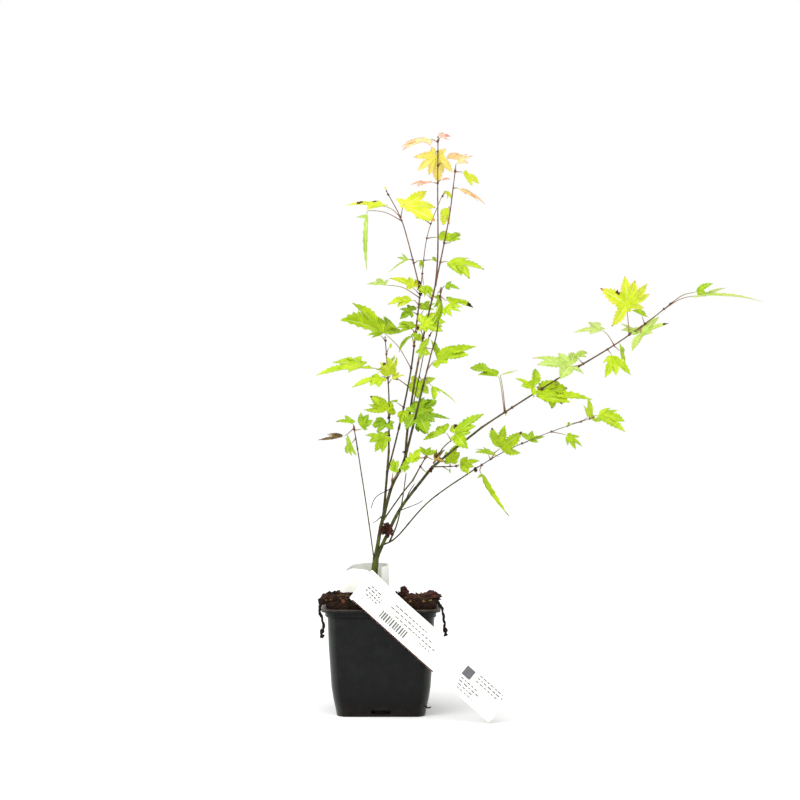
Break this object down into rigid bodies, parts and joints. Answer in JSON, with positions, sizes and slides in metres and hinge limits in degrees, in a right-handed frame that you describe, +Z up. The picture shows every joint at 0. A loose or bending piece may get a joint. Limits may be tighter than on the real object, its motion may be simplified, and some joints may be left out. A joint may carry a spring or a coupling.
{
  "type": "potted japanese maple",
  "caption": "Young Japanese maple with slender leafy stems forking low from a short trunk, in a square nursery pot of compost with a strip tag looped round its foot.",
  "frame": {"origin": "middle of the pot's flat underside", "axes": "+Z up; -Y is the front, where the tag hangs; +X is the side that the long low stems reach to"},
  "size_m": [0.338, 0.1143, 0.4421],
  "materials": {
    "pot": "satin",
    "compost": "rough",
    "bark_chip": "rough",
    "tag": "satin",
    "olive_bark": "satin",
    "plum_bark": "satin",
    "dead_wood": "rough",
    "leaves_lime": "satin",
    "leaves_gold": "satin",
    "leaves_orange": "satin",
    "leaves_pale": "satin",
    "leaves_deep": "satin"
  },
  "bodies": {
    "root": {"pot": "pot", "compost": "compost", "bark_chip_large": "bark_chip", "bark_chip_small": "bark_chip", "tag": "tag", "tag_loop": "tag", "trunk": "olive_bark", "left_bough": "olive_bark", "right_bough": "olive_bark", "front_bough": "olive_bark", "rear_bough": "plum_bark", "inner_bough": "plum_bark", "centre_bough": "plum_bark", "outer_bough": "plum_bark", "diagonal_bough": "plum_bark", "right_arm": "plum_bark", "low_bough": "plum_bark", "olive_twig": "plum_bark", "side_twig": "plum_bark", "dead_twig_left": "dead_wood", "dead_twig_right": "dead_wood", "dead_stub": "dead_wood", "dry_clump": "dead_wood", "root_strand_left": "dead_wood", "root_strand_right": "dead_wood", "centre_shoot_leaves": "leaves_gold", "top_left_leaves": "leaves_orange", "top_right_leaves": "leaves_orange", "outer_shoot_leaves": "leaves_lime", "slender_shoot_leaves": "leaves_lime", "inner_shoot_leaves": "leaves_lime", "upper_left_leaves": "leaves_gold", "upper_inner_leaves": "leaves_lime", "rear_shoot_leaves": "leaves_lime", "dark_sprig_leaves": "leaves_deep", "side_tip_leaves": "leaves_lime", "front_sprig_leaves": "leaves_lime", "diagonal_shoot_leaves": "leaves_gold", "right_twig_leaves": "leaves_gold", "flat_twig_leaves": "leaves_lime", "right_middle_leaves": "leaves_lime", "right_tip_leaves": "leaves_pale", "low_shoot_leaves": "leaves_lime"}
  },
  "joints": []
}
